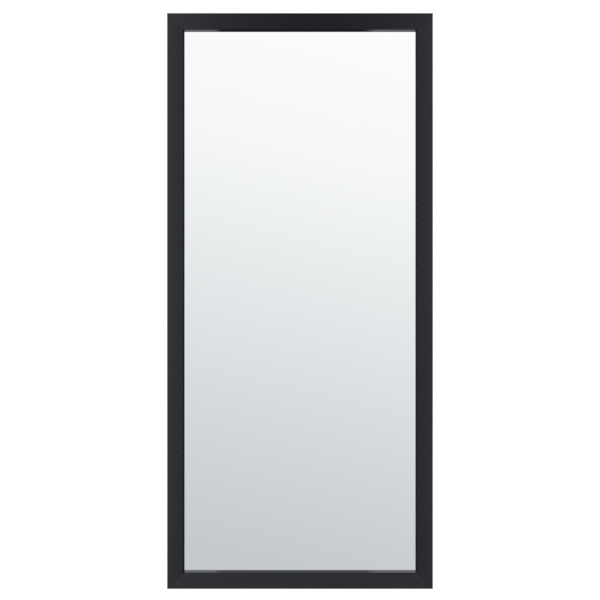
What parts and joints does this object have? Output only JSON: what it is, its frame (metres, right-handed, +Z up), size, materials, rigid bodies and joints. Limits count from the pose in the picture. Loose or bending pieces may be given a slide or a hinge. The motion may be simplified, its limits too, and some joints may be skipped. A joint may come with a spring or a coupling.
{
  "type": "wall mirror",
  "caption": "Tall rectangular wall mirror: a plain silvered pane in a flat satin black mitred frame, with a board back, turn buttons, wall bumpers and swinging hanger rings.",
  "frame": {"origin": "middle of the wall plane, which is the plane through the backs of the rubber bumpers", "axes": "+Z up, +Y out of the mirror's back into the wall, +X to the right seen from the front, which faces -Y"},
  "size_m": [0.6, 0.024, 1.3],
  "materials": {
    "frame_black": "satin black foil over fibreboard, bare fibreboard at the back",
    "nail_steel": "bare steel",
    "mirror_silver": "clear float glass, silvered at the back",
    "pad_rubber": "matt black rubber",
    "liner_card": "plain brown card",
    "board_brown": "smooth brown hardboard",
    "button_zinc": "zinc-plated steel",
    "plate_zinc": "zinc-plated steel",
    "strap_zinc": "zinc-plated steel",
    "ring_steel": "bright nickel-plated wire",
    "screw_zinc": "bright zinc-plated steel",
    "bumper_rubber": "soft black rubber"
  },
  "bodies": {
    "frame": {"stile_left": "frame_black", "stile_right": "frame_black", "rail_top": "frame_black", "rail_bottom": "frame_black", "mitre_nails": "nail_steel", "mirror_glass": "mirror_silver", "glass_pad_left": "pad_rubber", "glass_pad_right": "pad_rubber", "cardboard_liner": "liner_card", "backing_board": "board_brown", "corner_plate_top_left": "plate_zinc", "corner_plate_top_right": "plate_zinc", "corner_plate_bottom_left": "plate_zinc", "corner_plate_bottom_right": "plate_zinc", "hanger_strap_left": "strap_zinc", "hanger_strap_right": "strap_zinc", "turn_button_screws": "screw_zinc", "corner_plate_screws": "screw_zinc", "hanger_screws": "screw_zinc", "wall_bumper_top_left": "bumper_rubber", "wall_bumper_top_right": "bumper_rubber", "wall_bumper_bottom_left": "bumper_rubber", "wall_bumper_bottom_right": "bumper_rubber"},
    "turn_button_left_top": {"turn_button_left_top": "button_zinc"},
    "turn_button_left_middle": {"turn_button_left_middle": "button_zinc"},
    "turn_button_left_bottom": {"turn_button_left_bottom": "button_zinc"},
    "turn_button_right_top": {"turn_button_right_top": "button_zinc"},
    "turn_button_right_middle": {"turn_button_right_middle": "button_zinc"},
    "turn_button_right_bottom": {"turn_button_right_bottom": "button_zinc"},
    "turn_button_top": {"turn_button_top": "button_zinc"},
    "turn_button_bottom": {"turn_button_bottom": "button_zinc"},
    "hanger_ring_left": {"hanger_ring_left": "ring_steel"},
    "hanger_ring_right": {"hanger_ring_right": "ring_steel"}
  },
  "joints": [
    {"name": "turn_button_left_top_turn", "type": "hinge", "parent": "frame", "child": "turn_button_left_top", "pos_m": [-0.284, -0.006, 0.4525], "axis": [0, 1, 0], "continuous": true},
    {"name": "turn_button_left_middle_turn", "type": "hinge", "parent": "frame", "child": "turn_button_left_middle", "pos_m": [-0.284, -0.006, 0], "axis": [0, 1, 0], "continuous": true},
    {"name": "turn_button_left_bottom_turn", "type": "hinge", "parent": "frame", "child": "turn_button_left_bottom", "pos_m": [-0.284, -0.006, -0.4525], "axis": [0, 1, 0], "continuous": true},
    {"name": "turn_button_right_top_turn", "type": "hinge", "parent": "frame", "child": "turn_button_right_top", "pos_m": [0.284, -0.006, 0.4525], "axis": [0, 1, 0], "continuous": true},
    {"name": "turn_button_right_middle_turn", "type": "hinge", "parent": "frame", "child": "turn_button_right_middle", "pos_m": [0.284, -0.006, 0], "axis": [0, 1, 0], "continuous": true},
    {"name": "turn_button_right_bottom_turn", "type": "hinge", "parent": "frame", "child": "turn_button_right_bottom", "pos_m": [0.284, -0.006, -0.4525], "axis": [0, 1, 0], "continuous": true},
    {"name": "turn_button_top_turn", "type": "hinge", "parent": "frame", "child": "turn_button_top", "pos_m": [0, -0.006, 0.634], "axis": [0, 1, 0], "continuous": true},
    {"name": "turn_button_bottom_turn", "type": "hinge", "parent": "frame", "child": "turn_button_bottom", "pos_m": [0, -0.006, -0.634], "axis": [0, 1, 0], "continuous": true},
    {"name": "hanger_ring_left_swing", "type": "hinge", "parent": "frame", "child": "hanger_ring_left", "pos_m": [-0.2875, -0.0036, 0.5255], "axis": [-1, 0, 0], "range_deg": [0, 178]},
    {"name": "hanger_ring_right_swing", "type": "hinge", "parent": "frame", "child": "hanger_ring_right", "pos_m": [0.2875, -0.0036, 0.5255], "axis": [-1, 0, 0], "range_deg": [0, 178]}
  ]
}
